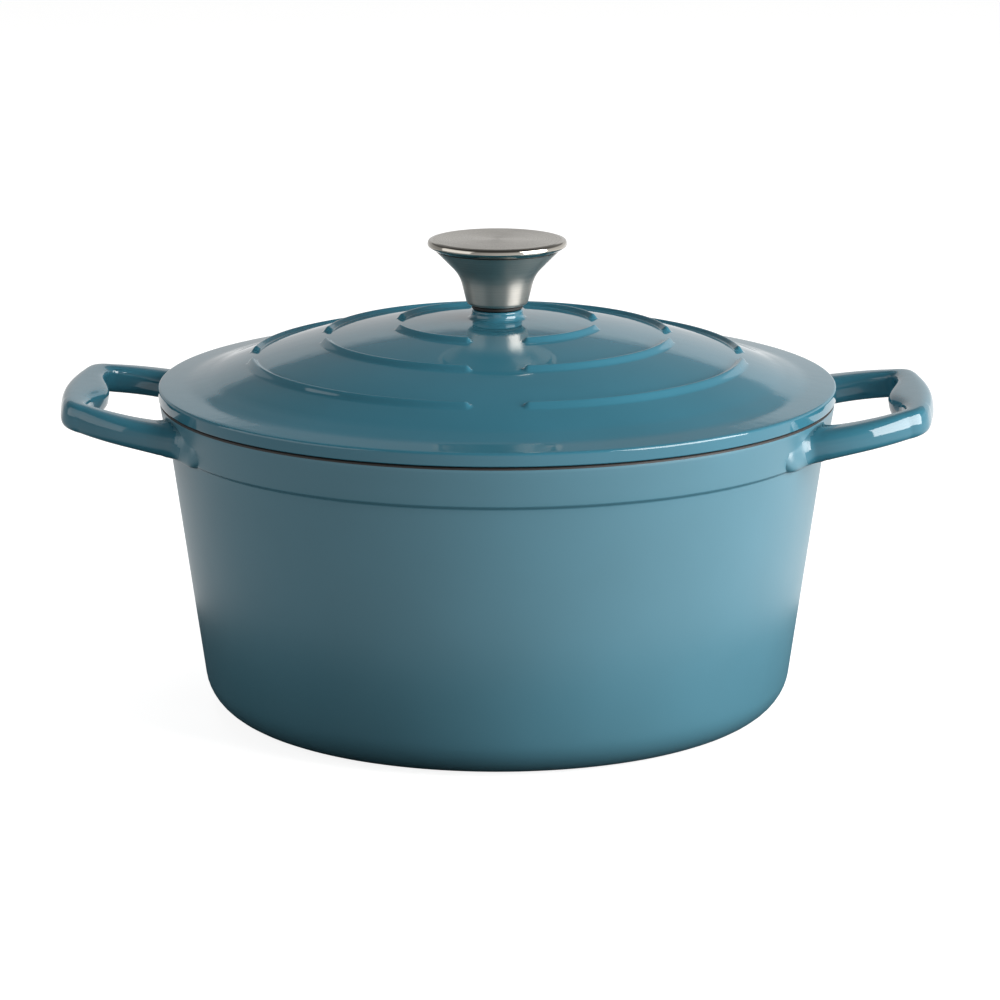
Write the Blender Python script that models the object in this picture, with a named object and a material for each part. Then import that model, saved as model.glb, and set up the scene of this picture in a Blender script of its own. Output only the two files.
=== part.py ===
"""Round cast iron dutch oven: a pot with two cast loop handles, and a ribbed lid with a screwed-on steel knob.

The pot stands on Z = 0 with its axis on Z and its handles along X. All sizes are in metres.
"""

import math

import bmesh
import bpy
from mathutils import Matrix

MM = 0.001

# Pot
RIM_HEIGHT = 126.0 * MM
RIM_OUTER_RADIUS = 134.4 * MM
RIM_LAND = 4.8 * MM
RIM_ROUNDING = 1.0 * MM
BAND_HEIGHT = 15.5 * MM
BAND_STEP = 1.2 * MM
WALL_INSET = 1.3 * MM
WALL_TAPER = 17.3 * MM
BASE_ROUNDING = 17.0 * MM
POT_WALL = 3.6 * MM
POT_FLOOR = 4.2 * MM
CAVITY_ROUNDING = 16.0 * MM

# Loop handles, each cast in one with the pot
HANDLE_PROJECTION = 39.5 * MM
HANDLE_THICKNESS = 11.0 * MM
HANDLE_TILT = math.radians(10.0)
HANDLE_BELOW_RIM = 7.3 * MM
HANDLE_TIP_HALF_WIDTH = 40.0 * MM
HANDLE_ROOT_HALF_WIDTH = 59.5 * MM
HANDLE_ARM_TIP = 9.2 * MM
HANDLE_ARM_ROOT = 12.6 * MM
HANDLE_BAR = 12.8 * MM
THUMB_PAD_DEPTH = 4.7 * MM
THUMB_PAD_HALF_WIDTH = 25.0 * MM
HANDLE_CORNER_ROUNDING = 12.0 * MM
WINDOW_CORNER_ROUNDING = 5.0 * MM
HANDLE_ROOT_ROUNDING = 10.0 * MM
HANDLE_EDGE_ROUNDING = 3.4 * MM

# Lid
LID_OVERHANG = 0.6 * MM
LID_FLANGE = 5.2 * MM
LID_FLANGE_WIDTH = 12.0 * MM
LID_EDGE_ROUNDING = 1.1 * MM
LID_DOME_RISE = 25.8 * MM
LID_COVE_ROUNDING = 14.0 * MM
LID_WALL = 3.8 * MM
LIP_CLEARANCE = 1.6 * MM
LIP_WIDTH = 4.0 * MM
LIP_DEPTH = 3.6 * MM
LID_TURN = math.radians(1.9)
RIB_INSET = 37.2 * MM
RIB_TO_KNOB = 12.2 * MM
RIB_COUNT = 3
RIB_WIDTH = 5.0 * MM
RIB_HEIGHT = 1.9 * MM
RIB_GAP = 18.7 * MM
BOSS_RADIUS = 10.1 * MM
BOSS_HEIGHT = 3.4 * MM

# Knob
GASKET_THICKNESS = 1.3 * MM
KNOB_HEIGHT = 26.2 * MM
KNOB_FOOT_RADIUS = 12.0 * MM
KNOB_WAIST_RADIUS = 15.0 * MM
KNOB_WAIST_HEIGHT = 12.0 * MM
KNOB_FLARE_ROUNDING = 14.0 * MM
KNOB_TOP_RADIUS = 27.8 * MM
KNOB_CAP_HEIGHT = 4.1 * MM
KNOB_BELLY_HEIGHT = 1.7 * MM
KNOB_CAP_UNDERCUT = 2.8 * MM
KNOB_FLAT_INSET = 2.2 * MM
KNOB_SHEET = 1.2 * MM
BUSH_WALL = 3.0 * MM
BUSH_FLANGE = 1.6 * MM
BUSH_FLANGE_CLEARANCE = 1.8 * MM
BUSH_HEIGHT = 14.0 * MM

# Screw and washers, for an M6 thread
SCREW_RADIUS = 3.0 * MM
SCREW_HEAD_LEDGE = 3.0 * MM
SCREW_HEAD_HEIGHT = 3.6 * MM
SCREW_ENGAGEMENT = 8.0 * MM
CROSS_MARGIN = 2.8 * MM
CROSS_WIDTH = 1.2 * MM
CROSS_DEPTH = 2.0 * MM
WASHER_MARGIN = 2.0 * MM
WASHER_THICKNESS = 1.2 * MM
LOCK_WASHER_INSET = 0.6 * MM
LOCK_WASHER_THICKNESS = 1.5 * MM
LOCK_WASHER_SLIT = 1.0 * MM

# Clearances
SEAT_GAP = 0.3 * MM
THREAD_CLEARANCE = 0.1 * MM
HOLE_CLEARANCE = 0.4 * MM

# Facets
ROUND_STEPS = 48
SMALL_STEPS = 24
ARC_STEP = math.radians(26.0)
RIB_STEP = math.radians(11.0)
RIB_FACES = (-1.0, -0.55, 0.0, 0.55, 1.0)

# Radii that follow from the sizes above
WALL_CONE_RADIUS = RIM_OUTER_RADIUS - WALL_INSET
BASE_CONE_RADIUS = WALL_CONE_RADIUS - WALL_TAPER
HANDLE_REACH = RIM_OUTER_RADIUS + HANDLE_PROJECTION
LID_RADIUS = RIM_OUTER_RADIUS + LID_OVERHANG
RIB_OUTER_RADIUS = LID_RADIUS - RIB_INSET
RIB_INNER_RADIUS = KNOB_TOP_RADIUS + RIB_TO_KNOB
RIB_PITCH = (RIB_OUTER_RADIUS - RIB_INNER_RADIUS) / (RIB_COUNT - 1)
GASKET_RADIUS = BOSS_RADIUS
KNOB_CAP_FOOT_RADIUS = KNOB_TOP_RADIUS - KNOB_CAP_UNDERCUT
BUSH_RADIUS = SCREW_RADIUS + BUSH_WALL
BUSH_FLANGE_RADIUS = KNOB_FOOT_RADIUS - KNOB_SHEET - BUSH_FLANGE_CLEARANCE
SCREW_HOLE = SCREW_RADIUS + HOLE_CLEARANCE
SCREW_HEAD_RADIUS = SCREW_RADIUS + SCREW_HEAD_LEDGE
WASHER_RADIUS = SCREW_HEAD_RADIUS + WASHER_MARGIN
LOCK_WASHER_RADIUS = SCREW_HEAD_RADIUS - LOCK_WASHER_INSET
SCREW_SEAT_RADIUS = WASHER_RADIUS + WASHER_MARGIN
CROSS_LENGTH = 2 * (SCREW_HEAD_RADIUS - CROSS_MARGIN)

# Heights that follow from the sizes above
LID_SEAT = RIM_HEIGHT + SEAT_GAP
FLANGE_TOP = LID_SEAT + LID_FLANGE
DOME_FOOT_RADIUS = LID_RADIUS - LID_FLANGE_WIDTH
DOME_SPHERE = (DOME_FOOT_RADIUS**2 + LID_DOME_RISE**2) / (2 * LID_DOME_RISE)
DOME_CENTRE = FLANGE_TOP + LID_DOME_RISE - DOME_SPHERE
UNDER_SPHERE = DOME_SPHERE - LID_WALL
BOSS_TOP = FLANGE_TOP + LID_DOME_RISE + BOSS_HEIGHT
SCREW_SEAT = DOME_CENTRE + math.sqrt(UNDER_SPHERE**2 - SCREW_SEAT_RADIUS**2)
GASKET_SEAT = BOSS_TOP + SEAT_GAP
KNOB_SEAT = GASKET_SEAT + GASKET_THICKNESS + SEAT_GAP
CAP_SEAT = KNOB_SEAT + KNOB_HEIGHT - KNOB_CAP_HEIGHT
WASHER_TOP = SCREW_SEAT - SEAT_GAP
LOCK_WASHER_TOP = WASHER_TOP - WASHER_THICKNESS - SEAT_GAP
SCREW_HEAD_TOP = LOCK_WASHER_TOP - LOCK_WASHER_THICKNESS - SEAT_GAP
SCREW_END = KNOB_SEAT + SCREW_ENGAGEMENT


def linear(hex_colour):
    """An sRGB hex colour as linear RGBA."""
    parts = [int(hex_colour[i : i + 2], 16) / 255 for i in (0, 2, 4)]
    return [c / 12.92 if c <= 0.04045 else ((c + 0.055) / 1.055) ** 2.4 for c in parts] + [1.0]


def material(name, hex_colour, roughness, metallic):
    made = bpy.data.materials.new(name)
    made.use_nodes = True
    shader = made.node_tree.nodes["Principled BSDF"]
    shader.inputs["Base Color"].default_value = linear(hex_colour)
    shader.inputs["Roughness"].default_value = roughness
    shader.inputs["Metallic"].default_value = metallic
    return made


def rounded(corners):
    """The outline through (a, b, radius) corners, each corner with a radius turned into an arc."""
    points = []
    count = len(corners)
    for i, (a, b, radius) in enumerate(corners):
        before = corners[i - 1]
        after = corners[(i + 1) % count]
        if radius == 0 or i in (0, count - 1):
            points.append((a, b))
            continue
        back = (before[0] - a, before[1] - b)
        ahead = (after[0] - a, after[1] - b)
        back_length = math.hypot(*back)
        ahead_length = math.hypot(*ahead)
        back = (back[0] / back_length, back[1] / back_length)
        ahead = (ahead[0] / ahead_length, ahead[1] / ahead_length)
        half = math.acos(max(-1.0, min(1.0, back[0] * ahead[0] + back[1] * ahead[1]))) / 2
        middle = (back[0] + ahead[0], back[1] + ahead[1])
        middle_length = math.hypot(*middle)
        centre_distance = radius / math.sin(half)
        centre = (
            a + middle[0] / middle_length * centre_distance,
            b + middle[1] / middle_length * centre_distance,
        )
        touch = radius / math.tan(half)
        first = (a + back[0] * touch - centre[0], b + back[1] * touch - centre[1])
        last = (a + ahead[0] * touch - centre[0], b + ahead[1] * touch - centre[1])
        start = math.atan2(first[1], first[0])
        turn = math.atan2(last[1], last[0]) - start
        turn = (turn + math.pi) % (2 * math.pi) - math.pi
        steps = max(2, math.ceil(abs(turn) / ARC_STEP))
        for k in range(steps + 1):
            angle = start + turn * k / steps
            points.append((centre[0] + radius * math.cos(angle), centre[1] + radius * math.sin(angle)))
    return points


def solid(name, mesh, seat, finish, parent):
    """An object of this mesh, whose own zero stands at the height called seat, on the oven's axis."""
    data = bpy.data.meshes.new(name)
    mesh.transform(Matrix.Translation((0, 0, -seat)))
    mesh.to_mesh(data)
    mesh.free()
    made = bpy.data.objects.new(name, data)
    bpy.context.scene.collection.objects.link(made)
    made.parent = parent
    made.location.z = seat - (parent.location.z if parent else 0.0)
    data.shade_smooth()
    data.set_sharp_from_angle(angle=math.radians(35.0))
    if finish:
        data.materials.append(finish)
    return made


def frame_at(name, height):
    """An empty on the axis, which the pieces of one moving group are parented to."""
    made = bpy.data.objects.new(name, None)
    bpy.context.scene.collection.objects.link(made)
    made.location.z = height
    return made


def turned(outline, steps, closed=True):
    """The body of revolution of an (r, z) outline: a closed loop, or one that runs from the axis to the axis."""
    mesh = bmesh.new()
    points = [mesh.verts.new((r, 0.0, z)) for r, z in outline]
    edges = [mesh.edges.new(pair) for pair in zip(points, points[1:])]
    if closed:
        edges.append(mesh.edges.new((points[-1], points[0])))
    bmesh.ops.spin(
        mesh,
        geom=points + edges,
        cent=(0, 0, 0),
        axis=(0, 0, 1),
        angle=2 * math.pi,
        steps=steps,
        use_merge=True,
    )
    bmesh.ops.remove_doubles(mesh, verts=mesh.verts, dist=1e-6)
    bmesh.ops.recalc_face_normals(mesh, faces=mesh.faces)
    return mesh


def cutter(name, mesh):
    made = solid(name, mesh, 0.0, None, None)
    made.hide_render = True
    made.display_type = "WIRE"
    return made


def combine(target, operation, other):
    change = target.modifiers.new(f"{operation.lower()} {other.name}", "BOOLEAN")
    change.operation = operation
    change.object = other
    change.solver = "EXACT"


def wall_radius(height):
    """Outside of the pot's tapered wall, below its band."""
    return BASE_CONE_RADIUS + (WALL_CONE_RADIUS - BASE_CONE_RADIUS) * height / RIM_HEIGHT


def dome_height(radius):
    """Height of the lid's domed top at this radius."""
    return DOME_CENTRE + math.sqrt(DOME_SPHERE**2 - radius**2)


def pot_outside():
    band_foot = RIM_HEIGHT - BAND_HEIGHT
    return rounded(
        [
            (0.0, 0.0, 0.0),
            (BASE_CONE_RADIUS, 0.0, BASE_ROUNDING),
            (wall_radius(band_foot - BAND_STEP), band_foot - BAND_STEP, 0.0),
            (wall_radius(band_foot) + BAND_STEP, band_foot, 0.0),
            (RIM_OUTER_RADIUS, RIM_HEIGHT - 2 * RIM_ROUNDING, 0.0),
            (RIM_OUTER_RADIUS, RIM_HEIGHT, RIM_ROUNDING),
            (0.0, RIM_HEIGHT, 0.0),
        ]
    )


def pot_cavity():
    inner_base = wall_radius(POT_FLOOR) - POT_WALL
    inner_rim = RIM_OUTER_RADIUS - RIM_LAND
    return rounded(
        [
            (0.0, POT_FLOOR, 0.0),
            (inner_base, POT_FLOOR, CAVITY_ROUNDING),
            (inner_rim, RIM_HEIGHT, 0.0),
            (inner_rim, RIM_HEIGHT + POT_WALL, 0.0),
            (0.0, RIM_HEIGHT + POT_WALL, 0.0),
        ]
    )


def handle_outline():
    """The U of the +X handle seen from above, its two open ends buried in the pot's wall."""
    bar_inner = HANDLE_REACH - HANDLE_BAR
    root = math.sqrt(RIM_OUTER_RADIUS**2 - HANDLE_ROOT_HALF_WIDTH**2)
    buried = wall_radius(RIM_HEIGHT - BAND_HEIGHT) - POT_WALL
    tip = math.sqrt(HANDLE_REACH**2 - HANDLE_TIP_HALF_WIDTH**2)
    flare = HANDLE_ROOT_HALF_WIDTH + HANDLE_ROOT_ROUNDING
    window_root = HANDLE_ROOT_HALF_WIDTH - HANDLE_ARM_ROOT - HANDLE_ROOT_ROUNDING / 2
    window_tip = HANDLE_TIP_HALF_WIDTH - HANDLE_ARM_TIP + HANDLE_CORNER_ROUNDING / 2
    window_wall = math.sqrt(RIM_OUTER_RADIUS**2 - window_root**2) - RIM_ROUNDING
    pinch = window_root - WINDOW_CORNER_ROUNDING * 2
    outer = [
        (math.sqrt(buried**2 - flare**2), flare, 0.0),
        (math.sqrt(RIM_OUTER_RADIUS**2 - flare**2) - RIM_ROUNDING, flare, 0.0),
        (root, HANDLE_ROOT_HALF_WIDTH, HANDLE_ROOT_ROUNDING),
        (tip, HANDLE_TIP_HALF_WIDTH + HANDLE_CORNER_ROUNDING / 4, HANDLE_CORNER_ROUNDING),
    ]
    end_angle = math.asin((HANDLE_TIP_HALF_WIDTH - HANDLE_CORNER_ROUNDING) / HANDLE_REACH)
    outer.append((HANDLE_REACH * math.cos(end_angle), HANDLE_REACH * math.sin(end_angle), 0.0))
    half = rounded(outer)
    arc = [end_angle * (1 - k / 4) for k in range(1, 5)]
    half += [(HANDLE_REACH * math.cos(a), HANDLE_REACH * math.sin(a)) for a in arc]
    inner = rounded(
        [
            (math.sqrt(buried**2 - pinch**2), pinch, 0.0),
            (math.sqrt(RIM_OUTER_RADIUS**2 - pinch**2) - RIM_ROUNDING, pinch, 0.0),
            (window_wall, window_root, WINDOW_CORNER_ROUNDING),
            (bar_inner, window_tip, WINDOW_CORNER_ROUNDING),
            (bar_inner, THUMB_PAD_HALF_WIDTH, 0.0),
        ]
    )
    pad = [1 - k / 6 for k in range(1, 7)]
    inner += [
        (
            bar_inner - THUMB_PAD_DEPTH * (1 + math.cos(math.pi * s)) / 2,
            THUMB_PAD_HALF_WIDTH * s,
        )
        for s in pad
    ]
    outer_side = half + [(x, -y) for x, y in reversed(half[:-1])]
    inner_side = inner + [(x, -y) for x, y in reversed(inner[:-1])]
    return outer_side + inner_side[::-1]


def handle(name, direction):
    """One loop handle, raised towards its tip, with every long edge rounded."""
    mesh = bmesh.new()
    face = mesh.faces.new([mesh.verts.new((x, y, 0.0)) for x, y in handle_outline()])
    upright = bmesh.ops.extrude_face_region(mesh, geom=[face])
    moved = [v for v in upright["geom"] if isinstance(v, bmesh.types.BMVert)]
    bmesh.ops.translate(mesh, verts=moved, vec=(0.0, 0.0, HANDLE_THICKNESS))
    bmesh.ops.recalc_face_normals(mesh, faces=mesh.faces)
    flats = {f for f in mesh.faces if abs(f.normal.z) > 0.9}
    bmesh.ops.bevel(
        mesh,
        geom=[edge for edge in mesh.edges if not flats.isdisjoint(edge.link_faces)],
        offset=HANDLE_EDGE_ROUNDING,
        segments=3,
        profile=0.5,
        affect="EDGES",
        clamp_overlap=True,
    )
    lift = Matrix.Translation((RIM_OUTER_RADIUS, 0.0, RIM_HEIGHT - HANDLE_BELOW_RIM))
    tilt = Matrix.Rotation(-HANDLE_TILT, 4, "Y")
    centred = Matrix.Translation((-RIM_OUTER_RADIUS, 0.0, -HANDLE_THICKNESS / 2))
    mesh.transform(Matrix.Rotation(direction, 4, "Z") @ lift @ tilt @ centred)
    return cutter(name, mesh)


def make_pot(enamel, parent):
    pot = solid("pot", turned(pot_outside(), ROUND_STEPS, closed=False), 0.0, enamel, parent)
    combine(pot, "UNION", handle("right_handle_form", 0.0))
    combine(pot, "UNION", handle("left_handle_form", math.pi))
    combine(pot, "DIFFERENCE", cutter("cavity_form", turned(pot_cavity(), ROUND_STEPS, closed=False)))
    return pot


def dome_points(sphere, first, last, count):
    """Points along the dome's arc, from one radius to another, at equal steps of radius."""
    radii = [first + (last - first) * k / count for k in range(count + 1)]
    return [(r, DOME_CENTRE + math.sqrt(sphere**2 - r**2), 0.0) for r in radii]


def lid_outline():
    """Section of the lid, from the screw hole over the boss and dome, round the edge and back underneath."""
    lip_outer = RIM_OUTER_RADIUS - RIM_LAND - LIP_CLEARANCE
    lip_inner = lip_outer - LIP_WIDTH
    lip_foot = LID_SEAT - LIP_DEPTH
    boss_foot = dome_points(DOME_SPHERE, BOSS_RADIUS, DOME_FOOT_RADIUS, 6)
    boss_foot[0] = (*boss_foot[0][:2], BOSS_HEIGHT / 3)
    boss_foot[-1] = (*boss_foot[-1][:2], LID_COVE_ROUNDING)
    under = dome_points(UNDER_SPHERE, lip_inner - LID_WALL, SCREW_SEAT_RADIUS, 5)
    edge = LID_EDGE_ROUNDING
    corners = [
        (SCREW_HOLE, BOSS_TOP, 0.0),
        (BOSS_RADIUS, BOSS_TOP, BOSS_HEIGHT / 6),
        *boss_foot,
        (LID_RADIUS, FLANGE_TOP, edge),
        (LID_RADIUS, LID_SEAT, edge / 2),
        (lip_outer, LID_SEAT, 0.0),
        (lip_outer, lip_foot, edge / 2),
        (lip_inner, lip_foot, edge / 2),
        (lip_inner, LID_SEAT, LID_WALL / 2),
        *under,
        (SCREW_HOLE, SCREW_SEAT, 0.0),
    ]
    return rounded(corners)


def rib_section(radius, scale):
    """Section of a rib at this radius, its foot sunk in the lid, shrunk towards the rib's rounded ends."""
    sink = LID_WALL / 3
    half = RIB_WIDTH / 2 * scale
    top = []
    for s in RIB_FACES:
        r = radius + half * s
        bump = RIB_HEIGHT * scale * (1 + math.cos(math.pi * s)) / 2
        top.append((r, dome_height(r) + bump - RIB_HEIGHT / 20))
    foot = [(radius + half, dome_height(radius + half) - sink), (radius - half, dome_height(radius - half) - sink)]
    return top + foot


def rib_arc(mesh, radius, middle):
    """Adds one quarter of a rib ring, centred on the angle called middle."""
    span = math.pi / 4 - math.asin(RIB_GAP / 2 / radius)
    tip = RIB_WIDTH / 2 / radius
    tips = [(1.0, 0.4), (0.6, 0.8)]
    body = span - tip
    steps = max(3, round(2 * body / RIB_STEP))
    stations = [(-body - tip * share, scale) for share, scale in tips]
    stations += [(-body + 2 * body * k / steps, 1.0) for k in range(steps + 1)]
    stations += [(body + tip * share, scale) for share, scale in reversed(tips)]
    loops = []
    for offset, scale in stations:
        angle = middle + offset
        section = rib_section(radius, scale)
        loops.append([mesh.verts.new((r * math.cos(angle), r * math.sin(angle), z)) for r, z in section])
    for first, second in zip(loops, loops[1:]):
        for k in range(len(first)):
            after = (k + 1) % len(first)
            mesh.faces.new((first[k], second[k], second[after], first[after]))
    mesh.faces.new(loops[0])
    mesh.faces.new(reversed(loops[-1]))


def make_lid(enamel, parent):
    lid = solid("lid", turned(lid_outline(), ROUND_STEPS), LID_SEAT, enamel, parent)
    ribs = bmesh.new()
    for ring in range(RIB_COUNT):
        for quarter in range(4):
            middle = LID_TURN + math.pi / 4 + math.pi / 2 * quarter
            rib_arc(ribs, RIB_OUTER_RADIUS - RIB_PITCH * ring, middle)
    bmesh.ops.recalc_face_normals(ribs, faces=ribs.faces)
    combine(lid, "UNION", cutter("rib_form", ribs))
    return lid


def make_gasket(rubber, parent):
    top = GASKET_SEAT + GASKET_THICKNESS
    rounding = GASKET_THICKNESS / 3
    outline = rounded(
        [
            (SCREW_HOLE, GASKET_SEAT, 0.0),
            (GASKET_RADIUS, GASKET_SEAT, rounding),
            (GASKET_RADIUS, top, rounding),
            (SCREW_HOLE, top, 0.0),
        ]
    )
    return solid("knob_gasket", turned(outline, SMALL_STEPS), GASKET_SEAT, rubber, parent)


def make_knob_shell(steel, parent):
    """The trumpet: sheet of one thickness, open at the top, with a floor that the bush sits on."""
    lip = KNOB_CAP_FOOT_RADIUS - SEAT_GAP
    waist = KNOB_SEAT + KNOB_WAIST_HEIGHT
    top = CAP_SEAT - SEAT_GAP
    hole = BUSH_RADIUS + SEAT_GAP
    foot = 1.4 * KNOB_SHEET
    outline = rounded(
        [
            (hole, KNOB_SEAT, 0.0),
            (KNOB_FOOT_RADIUS, KNOB_SEAT, foot),
            (KNOB_WAIST_RADIUS, waist, KNOB_FLARE_ROUNDING),
            (lip, top, 0.0),
            (lip - 1.5 * KNOB_SHEET, top, 0.0),
            (KNOB_WAIST_RADIUS - KNOB_SHEET, waist + KNOB_SHEET / 3, KNOB_FLARE_ROUNDING + KNOB_SHEET),
            (KNOB_FOOT_RADIUS - KNOB_SHEET, KNOB_SEAT + KNOB_SHEET, KNOB_SHEET / 3),
            (hole, KNOB_SEAT + KNOB_SHEET, 0.0),
        ]
    )
    return solid("knob_shell", turned(outline, SMALL_STEPS), KNOB_SEAT, steel, parent)


def make_knob_cap(steel, parent):
    """The flat top disc, with a rolled rim and a spigot ring inside the trumpet's mouth."""
    top = KNOB_SEAT + KNOB_HEIGHT
    lip = KNOB_CAP_FOOT_RADIUS
    spigot = lip - 2.0 * KNOB_SHEET - SEAT_GAP
    under = top - 1.4 * KNOB_SHEET
    outline = rounded(
        [
            (0.0, under, 0.0),
            (spigot - KNOB_SHEET, under, 0.0),
            (spigot - KNOB_SHEET, CAP_SEAT, 0.0),
            (lip, CAP_SEAT, 0.0),
            (KNOB_TOP_RADIUS, CAP_SEAT + KNOB_BELLY_HEIGHT, KNOB_SHEET),
            (KNOB_TOP_RADIUS - KNOB_FLAT_INSET, top, KNOB_SHEET),
            (0.0, top, 0.0),
        ]
    )
    return solid("knob_cap", turned(outline, SMALL_STEPS, closed=False), CAP_SEAT, steel, parent)


def make_knob_bush(steel, parent):
    bore = SCREW_RADIUS + THREAD_CLEARANCE
    ledge = KNOB_SEAT + KNOB_SHEET + SEAT_GAP
    outline = rounded(
        [
            (bore, KNOB_SEAT, 0.0),
            (BUSH_RADIUS, KNOB_SEAT, 0.0),
            (BUSH_RADIUS, ledge, 0.0),
            (BUSH_FLANGE_RADIUS, ledge, 0.0),
            (BUSH_FLANGE_RADIUS, ledge + BUSH_FLANGE, 0.0),
            (BUSH_RADIUS, ledge + BUSH_FLANGE, 0.0),
            (BUSH_RADIUS, KNOB_SEAT + BUSH_HEIGHT, 0.0),
            (bore, KNOB_SEAT + BUSH_HEIGHT, 0.0),
        ]
    )
    return solid("knob_bush", turned(outline, SMALL_STEPS), KNOB_SEAT, steel, parent)


def box(width, depth, bottom, top):
    mesh = bmesh.new()
    bmesh.ops.create_cube(mesh, size=1.0)
    bmesh.ops.scale(mesh, verts=mesh.verts, vec=(width, depth, top - bottom))
    bmesh.ops.translate(mesh, verts=mesh.verts, vec=(0.0, 0.0, (top + bottom) / 2))
    return mesh


def make_screw(steel, parent):
    """Pan-head machine screw, head down, its thread drawn as a plain shank."""
    head_foot = SCREW_HEAD_TOP - SCREW_HEAD_HEIGHT
    outline = rounded(
        [
            (0.0, head_foot, 0.0),
            (SCREW_HEAD_RADIUS, head_foot, SCREW_HEAD_HEIGHT * 0.6),
            (SCREW_HEAD_RADIUS, SCREW_HEAD_TOP, 0.0),
            (SCREW_RADIUS, SCREW_HEAD_TOP, 0.0),
            (SCREW_RADIUS, SCREW_END - SCREW_RADIUS / 4, 0.0),
            (SCREW_RADIUS * 0.75, SCREW_END, 0.0),
            (0.0, SCREW_END, 0.0),
        ]
    )
    screw = solid("lid_screw", turned(outline, SMALL_STEPS, closed=False), SCREW_HEAD_TOP, steel, parent)
    recess = (head_foot - CROSS_DEPTH, head_foot + CROSS_DEPTH)
    combine(screw, "DIFFERENCE", cutter("cross_form_x", box(CROSS_LENGTH, CROSS_WIDTH, *recess)))
    combine(screw, "DIFFERENCE", cutter("cross_form_y", box(CROSS_WIDTH, CROSS_LENGTH, *recess)))
    return screw


def ring(name, outer_radius, top, thickness, finish, parent):
    foot = top - thickness
    outline = [(SCREW_HOLE, foot), (outer_radius, foot), (outer_radius, top), (SCREW_HOLE, top)]
    return solid(name, turned(outline, SMALL_STEPS), top, finish, parent)


def make_lock_washer(steel, parent):
    """A ring with one slit, as a spring washer has."""
    washer = ring("lock_washer", LOCK_WASHER_RADIUS, LOCK_WASHER_TOP, LOCK_WASHER_THICKNESS, steel, parent)
    slit = box(
        LOCK_WASHER_RADIUS * 2,
        LOCK_WASHER_SLIT,
        LOCK_WASHER_TOP - 2 * LOCK_WASHER_THICKNESS,
        LOCK_WASHER_TOP + LOCK_WASHER_THICKNESS,
    )
    slit.transform(Matrix.Translation((LOCK_WASHER_RADIUS, 0.0, 0.0)))
    combine(washer, "DIFFERENCE", cutter("slit_form", slit))
    return washer


def build():
    for old in list(bpy.data.objects):
        bpy.data.objects.remove(old)
    enamel = material("teal_enamel", "2c6577", 0.2, 0.0)
    satin = material("satin_steel", "a7a39b", 0.32, 1.0)
    bright = material("bright_steel", "b9b5ad", 0.15, 1.0)
    zinc = material("zinc_plated_steel", "a9abad", 0.35, 1.0)
    silicone = material("black_silicone", "171514", 0.6, 0.0)

    make_pot(enamel, frame_at("pot_frame", 0.0))
    lid_frame = frame_at("lid_frame", LID_SEAT)
    make_lid(enamel, lid_frame)
    make_gasket(silicone, lid_frame)
    make_knob_shell(satin, lid_frame)
    make_knob_cap(bright, lid_frame)
    make_knob_bush(zinc, lid_frame)
    washer_frame = frame_at("washer_frame", WASHER_TOP)
    ring("flat_washer", WASHER_RADIUS, WASHER_TOP, WASHER_THICKNESS, zinc, washer_frame)
    make_lock_washer(zinc, washer_frame)
    make_screw(zinc, frame_at("screw_frame", SCREW_HEAD_TOP))


build()
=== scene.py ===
import math

import bmesh
import bpy
from mathutils import Matrix, Vector


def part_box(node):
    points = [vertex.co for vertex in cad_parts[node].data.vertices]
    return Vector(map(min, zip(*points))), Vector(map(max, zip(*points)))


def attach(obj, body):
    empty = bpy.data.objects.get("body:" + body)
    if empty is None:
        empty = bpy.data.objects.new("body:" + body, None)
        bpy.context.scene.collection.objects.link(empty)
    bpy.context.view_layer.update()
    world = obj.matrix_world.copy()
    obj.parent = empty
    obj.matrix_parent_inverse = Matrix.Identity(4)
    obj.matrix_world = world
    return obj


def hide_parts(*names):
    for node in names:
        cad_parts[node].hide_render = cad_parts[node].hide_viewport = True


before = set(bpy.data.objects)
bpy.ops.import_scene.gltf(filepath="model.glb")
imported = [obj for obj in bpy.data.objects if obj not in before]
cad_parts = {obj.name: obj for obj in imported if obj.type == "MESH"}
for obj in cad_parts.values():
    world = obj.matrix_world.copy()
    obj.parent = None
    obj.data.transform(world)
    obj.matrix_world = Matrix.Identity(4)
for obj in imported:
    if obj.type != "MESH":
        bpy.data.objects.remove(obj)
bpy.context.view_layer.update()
mm = 0.001
hair = 0.05 * mm  # slack for sorting faces by where they are
lidTurn = math.radians(1.9)  # the lid sits this much round from the handles

# Sizes that the other pieces are placed from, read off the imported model
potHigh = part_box("pot")[1]
lidLow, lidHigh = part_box("lid")
rimRadius = potHigh.y
handleReach = potHigh.x
lidRadius = lidHigh.y


def toLinear(hexColour):
    channels = [int(hexColour[i:i + 2], 16) / 255 for i in (0, 2, 4)]
    return [c / 12.92 if c <= 0.04045 else ((c + 0.055) / 1.055) ** 2.4 for c in channels] + [1.0]


def addNode(tree, kind, inputs=None, **settings):
    made = tree.nodes.new(kind)
    for name, value in settings.items():
        setattr(made, name, value)
    for socket, value in (inputs or {}).items():
        if isinstance(value, bpy.types.NodeSocket):
            tree.links.new(value, made.inputs[socket])
        else:
            made.inputs[socket].default_value = value
    return made


def newMaterial(name, fixed):
    # fixed: what is the same all over, set on the shader's own sockets
    made = bpy.data.materials.new(name)
    made.use_nodes = True
    shader = made.node_tree.nodes["Principled BSDF"]
    for socket, value in fixed.items():
        shader.inputs[socket].default_value = value
    return made, made.node_tree, shader


def spread(tree, source, low, high):
    # a 0..1 value drawn out to low..high
    return addNode(tree, "ShaderNodeMapRange", {"Value": source, "To Min": low, "To Max": high}).outputs[0]


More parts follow.
